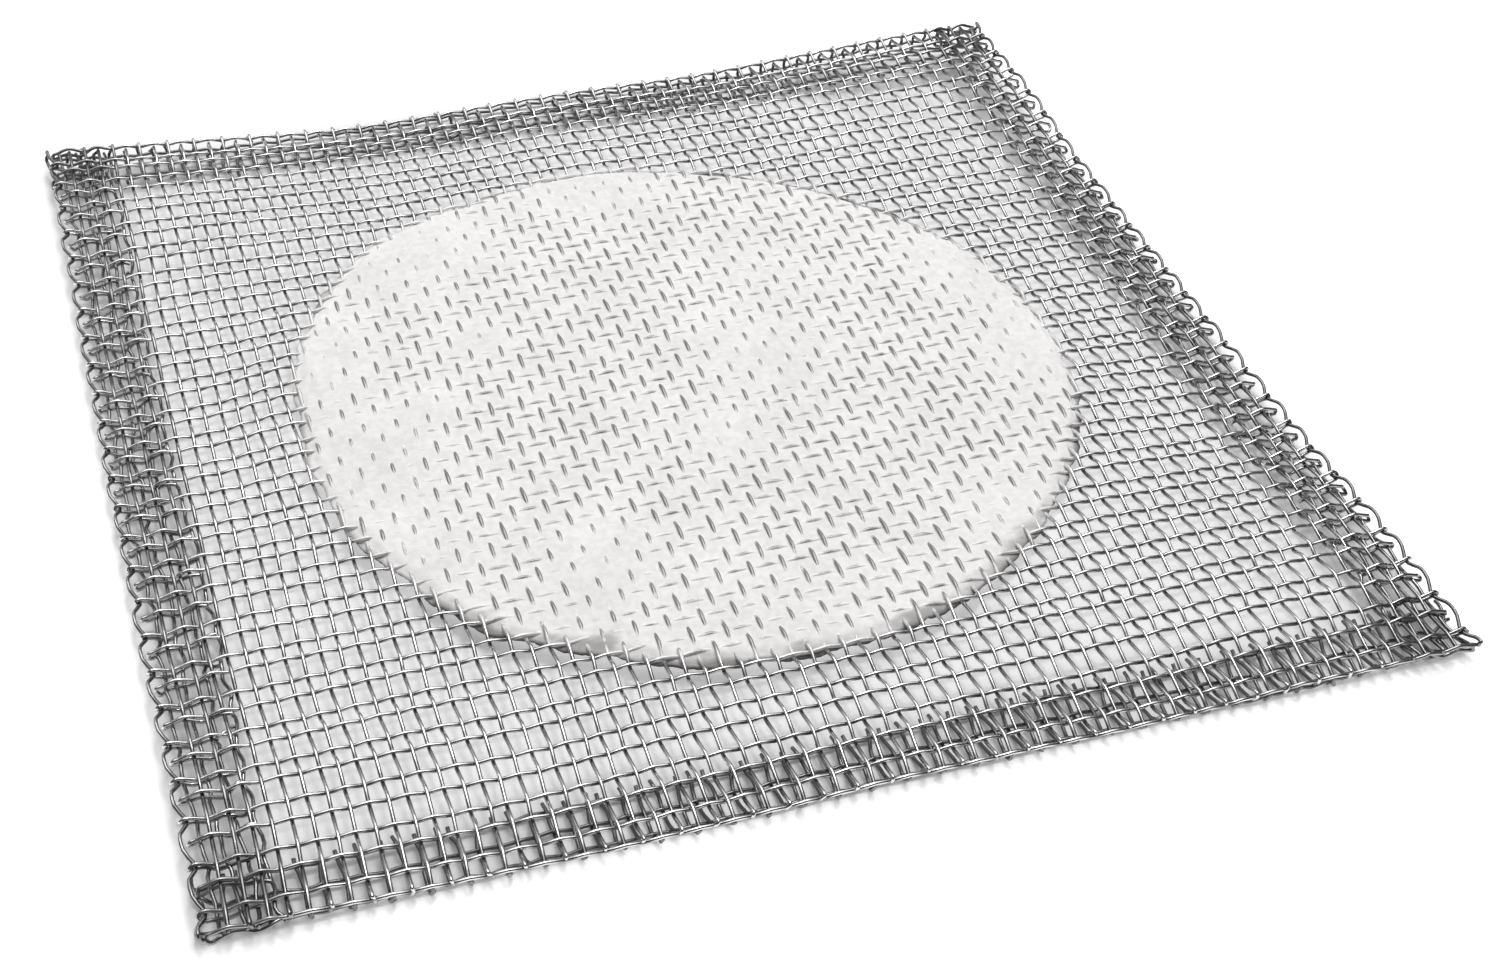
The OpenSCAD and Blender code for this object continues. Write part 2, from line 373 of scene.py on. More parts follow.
    # the outermost wire of the sheet bows out where it lies over the folds
    middleWire = calc(tree, "MULTIPLY", calc(tree, "SUBTRACT", given["Wire Count"], 1), 0.5)
    fromMiddle = calc(tree, "SUBTRACT", wireNumber, middleWire)
    lastButOne = calc(tree, "MULTIPLY_ADD", given["Wire Count"], 0.5, -1.0)
    outermost = calc(tree, "GREATER_THAN", calc(tree, "ABSOLUTE", fromMiddle), lastButOne)
    inSheet = calc(tree, "LESS_THAN", given["Layer"], drawnWire["diameter"] / 4)
    bow = calc(tree, "MULTIPLY", calc(tree, "MULTIPLY", outermost, inSheet), calc(tree, "SIGN", fromMiddle))
    arch = calc(tree, "MULTIPLY_ADD", wave, 0.5, 0.5)
    arch = calc(tree, "MULTIPLY", arch, calc(tree, "SUBTRACT", 2.0, arch))
    bow = calc(tree, "MULTIPLY", bow, calc(tree, "MULTIPLY", arch, given["Scallop"]))
    acrossWire = calc(tree, "ADD", calc(tree, "MULTIPLY", fromMiddle, given["Wire Pitch"]), bow)
    acrossWire = calc(tree, "ADD", acrossWire, given["Aside"])
    # its cut ends are bent up and aside
    farEnd = calc(tree, "SUBTRACT", pastEnd, drawnWire["bentTip"])
    past = calc(tree, "SUBTRACT", calc(tree, "ABSOLUTE", calc(tree, "SUBTRACT", run, half)), half)
    bentEnd = calc(tree, "MULTIPLY", ramp(tree, past, farEnd, pastEnd), given["Hook"])
    wander = calc(tree, "SINE", calc(tree, "MULTIPLY", wireNumber, drawnWire["tipVariety"]))
    acrossWire = calc(tree, "MULTIPLY_ADD", bentEnd, wander, acrossWire)
    turns = calc(tree, "ADD", calc(tree, "COSINE", roundEnd), calc(tree, "COSINE", roundStart))
    fallen = calc(tree, "MULTIPLY", given["Drop"], calc(tree, "MULTIPLY_ADD", turns, -0.5, 1))
    layer = calc(tree, "ADD", fallen, given["Layer"])
    # in its own hems the crimp is deeper, and along the edges beside it shallower
    inHem = ramp(tree, calc(tree, "ABSOLUTE", alongWire), *sheet["hems"], 1.0, given["Hem Crimp"])
    crimp = calc(tree, "MULTIPLY", given["Crimp"], inHem)
    atEdge = ramp(tree, calc(tree, "ABSOLUTE", acrossWire), *sheet["hems"], 1.0, given["Edge Crimp"])
    crimp = calc(tree, "MULTIPLY", crimp, atEdge)
    height = calc(tree, "SUBTRACT", calc(tree, "MULTIPLY_ADD", shaped, crimp, given["Middle"]), layer)
    height = calc(tree, "MULTIPLY_ADD", bentEnd, drawnWire["tipRise"], height)

    acrossRun = place(tree, "ShaderNodeCombineXYZ", X=alongWire, Y=acrossWire, Z=height).outputs[0]
    alongRun = place(tree, "ShaderNodeCombineXYZ", X=acrossWire, Y=alongWire, Z=height).outputs[0]
    switch = tree.nodes.new("GeometryNodeSwitch")
    switch.input_type = "VECTOR"
    feed(tree, switch.inputs["Switch"], given["Along Y"])
    feed(tree, switch.inputs["False"], acrossRun)
    feed(tree, switch.inputs["True"], alongRun)
    handled = tree.nodes.new("GeometryNodeGroup")
    handled.node_tree = handledSheet
    feed(tree, handled.inputs["Position"], switch.outputs[0])
    feed(tree, handled.inputs["Layer"], layer)

    points = place(tree, "GeometryNodePoints", Count=calc(tree, "MULTIPLY", pointsEach, given["Wires"]),
                   Position=handled.outputs[0])
    # the finish takes these, for its painted highlights and shade: depth under the sheet, crowns, and which
    # way the wire runs
    marked = keep(tree, points.outputs[0], "depth", calc(tree, "DIVIDE", layer, sheet["hemThickness"]))
    marked = keep(tree, marked, "crown", overness)
    marked = keep(tree, marked, "lengthwise", given["Along Y"])
    curves = tree.nodes.new("GeometryNodePointsToCurves")
    feed(tree, curves.inputs["Points"], marked)
    feed(tree, curves.inputs["Curve Group ID"], wireHere)
    feed(tree, curves.inputs["Weight"], index)
    section = place(tree, "GeometryNodeCurvePrimitiveCircle", Resolution=given["Sides"],
                    Radius=calc(tree, "MULTIPLY", given["Diameter"], 0.5))
    swept = tree.nodes.new("GeometryNodeCurveToMesh")
    feed(tree, swept.inputs["Curve"], curves.outputs[0])
    feed(tree, swept.inputs["Profile Curve"], section.outputs[0])
    feed(tree, swept.inputs["Fill Caps"], True)
    smooth = place(tree, "GeometryNodeSetShadeSmooth", Geometry=swept.outputs[0])
    return finishTree(tree, smooth.outputs[0], given["Material"])


# A piece made by a tree's modifier, kept as a plain mesh
def madeBy(tree, name, values, blank=None):
    piece = bpy.data.objects.new(name, blank or bpy.data.meshes.new(name))
    bpy.context.scene.collection.objects.link(piece)
    modifier = piece.modifiers.new("Make", "NODES")
    modifier.node_group = tree
    for item in tree.interface.items_tree:
        if item.item_type == "SOCKET" and item.in_out == "INPUT" and item.name in values:
            modifier[item.identifier] = values[item.name]
    piece.data.materials.append(values["Material"])
    shape = piece.evaluated_get(bpy.context.evaluated_depsgraph_get())
    mesh = bpy.data.meshes.new_from_object(shape)
    piece.modifiers.clear()
    piece.data = mesh
    return piece


# A few wires of one family: whole ones with both ends folded under, or a flap's own short ones
def weaveWires(tree, name, node, family, first, count, layer=None, aside=0.0):
    folded = layer is None
    foldedLength = drawnWire["turn"] + family["held"] + drawnWire["tip"]
    piece = madeBy(tree, name, {
        "First Wire": first, "Wires": count, "Wire Count": family["count"],
        "Wire Pitch": family["pitch"], "Crossings": family["crossings"],
        "Crossing Pitch": family["crossingPitch"], "Crimp": family["crimp"],
        "Side": family["side"], "Rings": family["rings"],
        "Loose End": 0.0 if folded else family["flapTip"],
        "Folded Length": foldedLength if folded else 0.0, "Turn": drawnWire["turn"],
        "Bulge": family["bulge"], "Front Share": family["frontShare"],
        "Front Tuck": family["frontTuck"], "Scallop": family["scallop"],
        "Hem Crimp": family["hemCrimp"], "Edge Crimp": family["edgeCrimp"],
        "Hook": family["hook"], "Aside": aside, "Drop": family["drop"],
        "Layer": 0.0 if folded else layer, "Middle": sheet["middle"],
        "Along Y": family["alongY"], "Diameter": drawnWire["diameter"],
        "Sides": drawnWire["sides"], "Material": steel,
    })
    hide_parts(node)
    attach(piece, "root")


# The ceramic disc, pressed through the mesh. Its heights are over the mesh's middle
disc = {
    "cells": 264,  # of the grid on its face, each way
    "center": (discLow + discHigh) / 2 + Vector((0.5, 0.1, 0)) * mm,  # it spread a little to the right
    "radius": (discHigh.x - discLow.x) / 2,
    "top": 0.1 * mm,
    "bottom": -1.0 * mm,
    "rim": 1.5 * mm,  # width of the feathered rim
    "rimDrop": 0.55 * mm,  # how far it falls there
    "edge": 0.55 * mm,  # thickness of the rim, over the undercut
    "undercut": (-0.25 * mm, -2.4 * mm),  # from the rim to its lower edge, and to the flat bottom
    "raggedness": 1.6 * mm,
    "raggedScale": 300,
    "raggedZone": (-5 * mm, -1 * mm),  # from the rim, where the raggedness begins and is whole
    "unevenness": 0.12 * mm,
    "clouds": ((110, 2.0), (420, 1.1)),  # scale of the unevenness, and its strength
    "grip": (-1 * mm, 9 * mm),  # from the rim, where bends of the sheet begin and are whole
    "lobeZone": (-6 * mm, -1.5 * mm),  # the same for the lobes of the outline
    "seed": 2.0,
    # where it spread further, or less far: bearing from +X in degrees, spread, and reach in mm
    "lobes": (
        {"bearing": 132, "spread": 0.75, "reach": 1.5},
        {"bearing": 225, "spread": 0.3, "reach": 0.7},
        {"bearing": 178, "spread": 0.35, "reach": -0.5},
        {"bearing": 55, "spread": 0.5, "reach": -0.3},
        {"bearing": 315, "spread": 0.5, "reach": -0.6},
        {"bearing": 90, "spread": 0.3, "reach": 0.4},
    ),
    # where it lies thicker or thinner over the wires: place, radius and height, in mm
    "patches": (
        {"at": (-26, 33), "radius": 17, "height": 0.36},
        {"at": (-40, 14), "radius": 13, "height": 0.34},
        {"at": (0, 41), "radius": 15, "height": 0.3},
        {"at": (-38, -4), "radius": 15, "height": 0.24},
        {"at": (-36, -20), "radius": 13, "height": 0.16},
        {"at": (-20, 12), "radius": 5, "height": 0.3},
        {"at": (-28, 2), "radius": 5, "height": 0.3},
        {"at": (10, 2), "radius": 12, "height": 0.24},
        {"at": (14, 18), "radius": 12, "height": 0.1},
        {"at": (40, 12), "radius": 13, "height": 0.33},
        {"at": (42, -6), "radius": 13, "height": 0.34},
        {"at": (-17, -26), "radius": 9, "height": 0.3},
        {"at": (2, -11), "radius": 8, "height": 0.26},
        {"at": (28, -32), "radius": 12, "height": 0.22},
        {"at": (-20, -38), "radius": 12, "height": 0.15},
        {"at": (0, -42), "radius": 14, "height": 0.08},
    ),
}


# Turns distances from the rim, negative inside it, into distances from the disc's middle
def fromRim(*distances):
    return [disc["radius"] + distance for distance in distances]


# How far a place is from the disc's middle, less the reach of the lobes on that side
def discDistance(tree, position):
    flat = calcVector(tree, "MULTIPLY", position, (1, 1, 0))
    middle = disc["center"] * Vector((1, 1, 0))
    away = calcVector(tree, "DISTANCE", flat, middle)
    outwards = calcVector(tree, "NORMALIZE", calcVector(tree, "SUBTRACT", flat, middle))
    reach = 0.0
    for lobe in disc["lobes"]:
        bearing = math.radians(lobe["bearing"])
        turned = calcVector(tree, "DISTANCE", outwards, (math.cos(bearing), math.sin(bearing), 0))
        reach = calc(tree, "ADD", reach, ramp(tree, turned, 0.0, lobe["spread"], lobe["reach"] * mm, 0.0))
    reach = calc(tree, "MULTIPLY", reach, ramp(tree, away, *fromRim(*disc["lobeZone"])))
    return calc(tree, "SUBTRACT", away, reach), outwards, reach


# Height of the ceramic's face at a place, for its shape and for the film that it leaves on the wires
def ceramicLevel(tree, position):
    flat = calcVector(tree, "MULTIPLY", position, (1, 1, 0))
    level = sheet["middle"] + disc["top"]
    for patch in disc["patches"]:
        away = calcVector(tree, "DISTANCE", flat, Vector((*patch["at"], 0)) * mm)
        height = ramp(tree, away, 0.0, patch["radius"] * mm, patch["height"] * mm, 0.0)
        level = calc(tree, "ADD", level, height)
    for scale, strength in disc["clouds"]:
        cloud = calc(tree, "SUBTRACT", mottle(tree, flat, scale, disc["seed"], 2.0), 0.5)
        level = calc(tree, "MULTIPLY_ADD", cloud, strength * disc["unevenness"], level)
    away, _, _ = discDistance(tree, position)
    ragged = calc(tree, "SUBTRACT", mottle(tree, flat, disc["raggedScale"], disc["seed"] + 1, 4.0), 0.5)
    away = calc(tree, "MULTIPLY_ADD", ragged, disc["raggedness"], away)
    fall = ramp(tree, away, disc["radius"] - disc["rim"], disc["radius"], 0.0, disc["rimDrop"])
    return calc(tree, "SUBTRACT", level, fall)


def buildCeramicLevel():
    group = bpy.data.node_groups.new("Ceramic Level", "ShaderNodeTree")
    addInput(group, "Position", "Vector")
    addOutput(group, "Height Over Face", "Float")
    position = group.nodes.new("NodeGroupInput").outputs["Position"]
    height = place(group, "ShaderNodeSeparateXYZ", Vector=position).outputs[2]
    over = calc(group, "SUBTRACT", height, ceramicLevel(group, position))
    group.links.new(over, group.nodes.new("NodeGroupOutput").inputs[0])
    return group


# Uneven tone and fine roughness, for steel and ceramic alike
def buildHandledSurface():
    group = bpy.data.node_groups.new("Handled Surface", "ShaderNodeTree")
    addInput(group, "Position", "Vector")
    addInput(group, "Cloud Scale", "Float", 150.0)
    addInput(group, "Grain Scale", "Float", 2500.0)
    addInput(group, "Speck Share", "Float", 0.1)
    for name in ("Clouds", "Grain", "Specks"):
        addOutput(group, name, "Float")
    given = group.nodes.new("NodeGroupInput").outputs
    result = group.nodes.new("NodeGroupOutput").inputs
    clouds = mottle(group, given["Position"], given["Cloud Scale"], 7.0, 4.0)
    grain = mottle(group, given["Position"], given["Grain Scale"], 8.0, 3.0)
    group.links.new(ramp(group, clouds, 0.3, 0.7), result["Clouds"])
    group.links.new(grain, result["Grain"])
    dots = place(group, "ShaderNodeTexVoronoi", Vector=given["Position"], Scale=given["Grain Scale"])
    edge = calc(group, "MULTIPLY", given["Speck Share"], 0.4)
    group.links.new(ramp(group, dots.outputs["Distance"], 0.0, edge, 1.0, 0.0), result["Specks"])
    return group


# Bright drawn steel, with a painted highlight on its crowns and painted shade in its dips. It is dull and
# darkened by painted shade under the sheet and in the corners, painted shade darkens its outermost wires at
# the right, and it is dull and dark in the disc, where ceramic is left on it
wireFinish = {
    "bright": (0.68, 0.68, 0.685, 1), "dark": (0.17, 0.17, 0.172, 1), "paintedShade": (0.19, 0.19, 0.19, 1),
    "scorched": (0.28, 0.275, 0.27, 1),
    "cloudScale": 300.0, "grainScale": 3500.0,
    "roughness": (0.17, 0.3),
    "dull": 0.45,  # roughness where it is dull
    "filmRoughness": 0.3,  # how much rougher the film makes it
    "bump": 0.2, "bumpDepth": 0.02 * mm,
    "scorchedZone": (-1.5 * mm, 0.5 * mm),  # from the disc's rim, where the heat has reached it
    "underDepths": (0.05, 0.7),  # as shares of the hem's thickness: where the painted shade under the sheet begins, and where it is whole
    "crownHighlight": (0.25, 1.1),  # how high on its crowns the painted highlight begins and is whole
    "sideHemHighlight": (53 * mm, 55 * mm, 0.0, 0.8),  # how far out the painted highlight along the side hems begins and is whole, and how much
    "sideWarpShade": 1.6,  # how much less of that the warp has there, which leaves it in painted shade
    "cornerShade": (52 * mm, 58 * mm, 0.0, 0.7),  # the same for the painted shade in the corners
    "cornerShadeClouds": 3 * mm,  # how far that comes and goes
    "rightEdgeShade": (60.8 * mm, 61.6 * mm, 0.0, 0.6),  # and for the painted shade along the right edge
    "film": (0.02 * mm, 0.28 * mm),  # height over the disc's face where the film is whole, and ends
    "leastFilm": 0.12,
    # how far the film goes up and down: fine grain, streaks along the wires, and patches
    "filmGrain": 0.2 * mm, "filmStreaks": 0.5 * mm, "filmPatches": 0.75 * mm,
    "filmScale": 520,
    "warpLift": 0.05 * mm,  # how much less of it the warp keeps
    "dustMiddle": -0.5 * mm,  # from the disc's rim, where the wires are dustiest
    "dust": (-1.0 * mm, 0.6 * mm),  # how far from there the dust is whole, and where it ends
    "dustCover": 0.85,
    "dustGrain": 1.6 * mm,
}


def makeSteel():
    finish = wireFinish
    material, tree, shader = newMaterial("Drawn Steel Wire")
    position = tree.nodes.new("ShaderNodeTexCoord").outputs["Object"]
    surface = groupNode(tree, handledSurface, **{
        "Position": position, "Cloud Scale": finish["cloudScale"], "Grain Scale": finish["grainScale"]})
    clouds, grain = surface.outputs["Clouds"], surface.outputs["Grain"]
    over = groupNode(tree, ceramicLevelGroup, Position=position).outputs[0]
    depth, crown, lengthwise = (
        place(tree, "ShaderNodeAttribute", {"attribute_name": name}).outputs["Fac"]
        for name in ("depth", "crown", "lengthwise"))
    away, _, _ = discDistance(tree, position)
    inDisc = ramp(tree, away, *fromRim(*finish["scorchedZone"]), 1.0, 0.0)
    # painted shade under the sheet: the deeper a wire lies, the darker and duller it is
    under = ramp(tree, depth, *finish["underDepths"])
    dull = calc(tree, "MAXIMUM", inDisc, calc(tree, "MULTIPLY", under, 0.7))

    # painted highlight on the crowns, and painted shade in the dips between them
    paintedLight = ramp(tree, calc(tree, "MULTIPLY_ADD", clouds, 0.5, crown), *finish["crownHighlight"])
    # along the side hems the weft is pressed up and given a painted highlight all along, and the warp under
    # it painted shade
    x, y, _ = place(tree, "ShaderNodeSeparateXYZ", Vector=position).outputs
    sideHem = ramp(tree, calc(tree, "ABSOLUTE", x), *finish["sideHemHighlight"])
    shift = calc(tree, "MULTIPLY_ADD", lengthwise, -finish["sideWarpShade"], 1.0)
    paintedLight = calc(tree, "ADD", paintedLight, calc(tree, "MULTIPLY", sideHem, shift))
    paintedLight = calc(tree, "MINIMUM", calc(tree, "MAXIMUM", paintedLight, 0.0), 1.0)
    metal = mix(tree, paintedLight, finish["dark"], finish["bright"])
    metal = mix(tree, under, metal, finish["paintedShade"])
    # painted shade in the corners, where four layers are pressed together: darker and duller there
    corner = calc(tree, "MINIMUM", calc(tree, "ABSOLUTE", x), calc(tree, "ABSOLUTE", y))
    corner = calc(tree, "MULTIPLY_ADD", clouds, finish["cornerShadeClouds"], corner)
    corner = ramp(tree, corner, *finish["cornerShade"])
    metal = mix(tree, corner, metal, finish["paintedShade"])
    dull = calc(tree, "MAXIMUM", dull, corner)
    # painted shade darkens the outermost wires at the right
    metal = mix(tree, ramp(tree, x, *finish["rightEdgeShade"]), metal, finish["dark"])
    metal = mix(tree, inDisc, metal, finish["scorched"])

    # the film thins out as a wire rises from the face, and comes and goes along it
    scale = finish["filmScale"]
    weftStreak = mottle(tree, calcVector(tree, "MULTIPLY", position, (1, 9, 9)), scale, 11.0, 3.0)
    warpStreak = mottle(tree, calcVector(tree, "MULTIPLY", position, (9, 1, 9)), scale, 12.0, 3.0)
    difference = calc(tree, "SUBTRACT", warpStreak, weftStreak)
    streak = calc(tree, "MULTIPLY_ADD", lengthwise, difference, weftStreak)
    patch = mottle(tree, position, scale, 13.0, 2.0)
    uneven = over
    for texture, name in ((grain, "filmGrain"), (streak, "filmStreaks"), (patch, "filmPatches")):
        uneven = calc(tree, "MULTIPLY_ADD", calc(tree, "SUBTRACT", texture, 0.5), finish[name], uneven)
    uneven = calc(tree, "MULTIPLY_ADD", lengthwise, finish["warpLift"], uneven)
    film = calc(tree, "MULTIPLY", ramp(tree, uneven, *finish["film"], 1.0, finish["leastFilm"]), inDisc)
    # and the wires round the disc are dusted
    nearRim = calc(tree, "ABSOLUTE", calc(tree, "SUBTRACT", away, *fromRim(finish["dustMiddle"])))
    nearRim = calc(tree, "MULTIPLY_ADD", grain, -finish["dustGrain"], nearRim)
    film = calc(tree, "MAXIMUM", film, ramp(tree, nearRim, *finish["dust"], finish["dustCover"], 0.0))
    tree.links.new(mix(tree, film, metal, ceramicFinish["color"]), shader.inputs["Base Color"])
    tree.links.new(calc(tree, "SUBTRACT", 1.0, film), shader.inputs["Metallic"])
    rough = ramp(tree, clouds, 0.0, 1.0, *reversed(finish["roughness"]))
    rough = calc(tree, "MAXIMUM", rough, calc(tree, "MULTIPLY", dull, finish["dull"]))
    rough = calc(tree, "MULTIPLY_ADD", film, finish["filmRoughness"], rough)
    tree.links.new(rough, shader.inputs["Roughness"])
    addBump(tree, shader, grain, finish)
    return material


# Matt warm-white ceramic, grainy and clouded, with painted shade in patches on the front of its rim and
# along its lower edge
ceramicFinish = {
    "color": (0.955, 0.938, 0.932, 1), "shade": (0.68, 0.67, 0.662, 1), "speck": (0.36, 0.35, 0.34, 1),
    "edgeShade": (0.12, 0.115, 0.11, 1), "frontRimShade": (0.34, 0.335, 0.33, 1),
    "cloudScale": 120.0, "grainScale": 1300.0,
    "speckShare": 0.22, "specks": 0.6,  # size and strength of the dark specks
    "speckPatches": (0.52, 0.62),  # how few places have them: where they begin in the noise, and are whole
    "fineShade": 0.38, "cloudShade": 0.24,  # how much of the shade the fine grain and the clouds bring
    "frontRimShadeZone": (4.0 * mm, 6.6 * mm),  # from the rim, less up to the streaks' length
    "frontRimShadeStreaks": 12 * mm,
    "frontRimShadeReach": (-34 * mm, -22 * mm, 0.75, 0.0),  # y where the painted shade is whole and where it ends
    "edgeShadeHeights": (-0.55 * mm, -0.15 * mm),  # over the mesh's middle: where the painted shade is whole, and ends
    "edgeShadeZone": (-2.4 * mm, -1.2 * mm),  # from the rim, where it begins and is whole
    "deepestEdgeShade": 0.95,
    "roughness": 0.85,
    "lumpScale": 380, "grainRelief": 0.15, "bump": 0.65, "bumpDepth": 0.12 * mm,
}


def makeCeramic():
    finish = ceramicFinish
    material, tree, shader = newMaterial("Pressed Ceramic")
    position = tree.nodes.new("ShaderNodeTexCoord").outputs["Object"]
    surface = groupNode(tree, handledSurface, **{
        "Position": position, "Cloud Scale": finish["cloudScale"],
        "Grain Scale": finish["grainScale"], "Speck Share": finish["speckShare"]})
    fine = ramp(tree, surface.outputs["Grain"], 0.3, 0.7)
    soft = calc(tree, "MULTIPLY", surface.outputs["Clouds"], finish["cloudShade"])
    soft = calc(tree, "MULTIPLY_ADD", fine, finish["fineShade"], soft)
    tone = mix(tree, soft, finish["color"], finish["shade"])
    sparse = ramp(tree, mottle(tree, position, 60, 3.0, 2.0), *finish["speckPatches"])
    specks = calc(tree, "MULTIPLY", sparse, finish["specks"])
    specks = calc(tree, "MULTIPLY", surface.outputs["Specks"], specks)
    tone = mix(tree, specks, tone, finish["speck"])
    # painted shade on the front of the rim, in patches
    _, y, height = place(tree, "ShaderNodeSeparateXYZ", Vector=position).outputs
    away, _, _ = discDistance(tree, position)
    streaks = mottle(tree, calcVector(tree, "MULTIPLY", position, (1, 2.2, 1)), 170, 9.0, 5.0)
    streaks = calc(tree, "MULTIPLY_ADD", streaks, finish["frontRimShadeStreaks"], away)
    frontRimShade = ramp(tree, streaks, *fromRim(*finish["frontRimShadeZone"]))
    frontRimShade = calc(tree, "MULTIPLY", frontRimShade, ramp(tree, y, *finish["frontRimShadeReach"]))
    tone = mix(tree, frontRimShade, tone, finish["frontRimShade"])
    # and painted shade along its lower edge, under the overhang
    lowest, highest = (sheet["middle"] + offset for offset in finish["edgeShadeHeights"])
    edgeShade = ramp(tree, height, lowest, highest, finish["deepestEdgeShade"], 0.0)
    edgeShade = calc(tree, "MULTIPLY", edgeShade, ramp(tree, away, *fromRim(*finish["edgeShadeZone"])))
    tree.links.new(mix(tree, edgeShade, tone, finish["edgeShade"]), shader.inputs["Base Color"])
    shader.inputs["Roughness"].default_value = finish["roughness"]
    lumps = mottle(tree, position, finish["lumpScale"], 5.0, 3.0)
    relief = calc(tree, "MULTIPLY_ADD", surface.outputs["Grain"], finish["grainRelief"], lumps)
    addBump(tree, shader, relief, finish)
    return material


# Unit disc covered by a square grid, one ring of cells round the next
def discPoint(a, b):
    if a == 0 and b == 0:
        return 0.0, 0.0
    if abs(a) > abs(b):
        radius, angle = a, math.pi / 4 * b / a
    else:
        radius, angle = b, math.pi / 2 - math.pi / 4 * a / b
    return radius * math.cos(angle), radius * math.sin(angle)


# The grid's outer points, once round
def boundaryOf(cells):
    loop = [(i, 0) for i in range(cells)] + [(cells, j) for j in range(cells)]
    loop += [(cells - i, cells) for i in range(cells)] + [(0, cells - j) for j in range(cells)]
    return [i + j * (cells + 1) for i, j in loop]


# Raises the blank's top to the level of the pressed face, where the attribute "face" is 1
def buildPressedFace():
    tree = bpy.data.node_groups.new("Pressed Face", "GeometryNodeTree")
    addInput(tree, "Geometry", "Geometry")
    addInput(tree, "Material", "Material")
    addOutput(tree, "Geometry", "Geometry")
    given = tree.nodes.new("NodeGroupInput").outputs
    position = tree.nodes.new("GeometryNodeInputPosition").outputs[0]
    face = tree.nodes.new("GeometryNodeInputNamedAttribute")
    face.inputs["Name"].default_value = "face"
    # the outline is ragged, and the undercut follows it
    away, outwards, reach = discDistance(tree, position)
    ragged = calc(tree, "SUBTRACT", mottle(tree, outwards, 9.0, disc["seed"] + 2, 5.0), 0.5)
    ragged = calc(tree, "MULTIPLY", ragged, ramp(tree, away, *fromRim(*disc["raggedZone"])))
    reach = calc(tree, "MULTIPLY_ADD", ragged, 2 * disc["raggedness"], reach)
    spread = place(tree, "GeometryNodeSetPosition", Geometry=given["Geometry"],
                   Offset=scaled(tree, outwards, reach))

    level = calc(tree, "SUBTRACT", ceramicLevel(tree, position), sheet["middle"])
    rise = calc(tree, "MULTIPLY", level, face.outputs[0])
    up = place(tree, "ShaderNodeCombineXYZ", Z=rise).outputs[0]
    raised = place(tree, "GeometryNodeSetPosition", Geometry=spread.outputs[0], Offset=up)
    return finishTree(tree, raised.outputs[0], given["Material"])


# A flat blank of the disc: a fine grid on top, a coarser one below, and a narrow edge between
def makeBlank():
    vertices, faces = [], []
    cx, cy, _ = disc["center"]
    cells = disc["cells"]
    lip, foot = disc["undercut"]

    def addGrid(cells, radius, z, upward):
        start = len(vertices)
        for j in range(cells + 1):
            for i in range(cells + 1):
                x, y = discPoint(2 * i / cells - 1, 2 * j / cells - 1)
                vertices.append((cx + x * radius, cy + y * radius, z))
        for j in range(cells):
            for i in range(cells):
                a = start + i + j * (cells + 1)
                face = (a, a + 1, a + cells + 2, a + cells + 1)
                faces.append(face if upward else face[::-1])
        return [start + k for k in boundaryOf(cells)]

    rim = addGrid(cells, disc["radius"], sheet["middle"], True)
    # the rim's lower edge takes its height from the face, as the rim itself does
    edge = []
    for k in rim:
        x, y, z = vertices[k]
        away = math.hypot(x - cx, y - cy)
        share = (away + lip) / away
        edge.append(len(vertices))
        vertices.append((cx + (x - cx) * share, cy + (y - cy) * share, z - disc["edge"]))
    for m in range(len(rim)):
        faces.append((rim[m], edge[m], edge[(m + 1) % len(rim)], rim[(m + 1) % len(rim)]))
    topCount = len(vertices)
    bottom = addGrid(cells // 2, disc["radius"] + foot, sheet["middle"] + disc["bottom"], False)
    for m in range(len(bottom)):
        a, b, c = edge[2 * m], edge[2 * m + 1], edge[(2 * m + 2) % len(edge)]
        p, q = bottom[m], bottom[(m + 1) % len(bottom)]
        faces += [(a, p, b), (b, p, q), (b, q, c)]
    mesh = bpy.data.meshes.new("ceramicBlank")
    mesh.from_pydata(vertices, [], faces)
    mesh.shade_smooth()
    marks = mesh.attributes.new("face", "FLOAT", "POINT")
    marks.data.foreach_set("value", [1.0 if k < topCount else 0.0 for k in range(len(vertices))])
    return mesh


def makeDisc():
    piece = madeBy(buildPressedFace(), "ceramicDisc", {"Material": ceramic}, makeBlank())
    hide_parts("ceramic_disc")
    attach(piece, "root")


# The camera looks at the target from this side and height, in degrees
view = {
    "lens": 53.21, "sensor": 36.0,
    "azimuth": -21.85, "elevation": 40.64, "roll": 4.11,
    "distance": 235.3 * mm, "target": Vector((1.86, -16.68, 0.0)) * mm,
}


def makeCamera():
    azimuth, elevation, roll = (math.radians(view[k]) for k in ("azimuth", "elevation", "roll"))
    level = math.cos(elevation)
    back = Vector((math.sin(azimuth) * level, -math.cos(azimuth) * level, math.sin(elevation)))
    right = Vector((0, 0, 1)).cross(back).normalized()
    up = back.cross(right)
    turnedRight = right * math.cos(roll) + up * math.sin(roll)
    turnedUp = up * math.cos(roll) - right * math.sin(roll)
    data = bpy.data.cameras.new("Camera")
    data.lens = view["lens"]
    data.sensor_width = view["sensor"]
    data.clip_start = 0.01
    camera = bpy.data.objects.new("Camera", data)
    camera.matrix_world = Matrix.Translation(view["target"] + back * view["distance"]) @ Matrix(
        (turnedRight, turnedUp, back)).transposed().to_4x4()
    bpy.context.scene.collection.objects.link(camera)
    bpy.context.scene.camera = camera


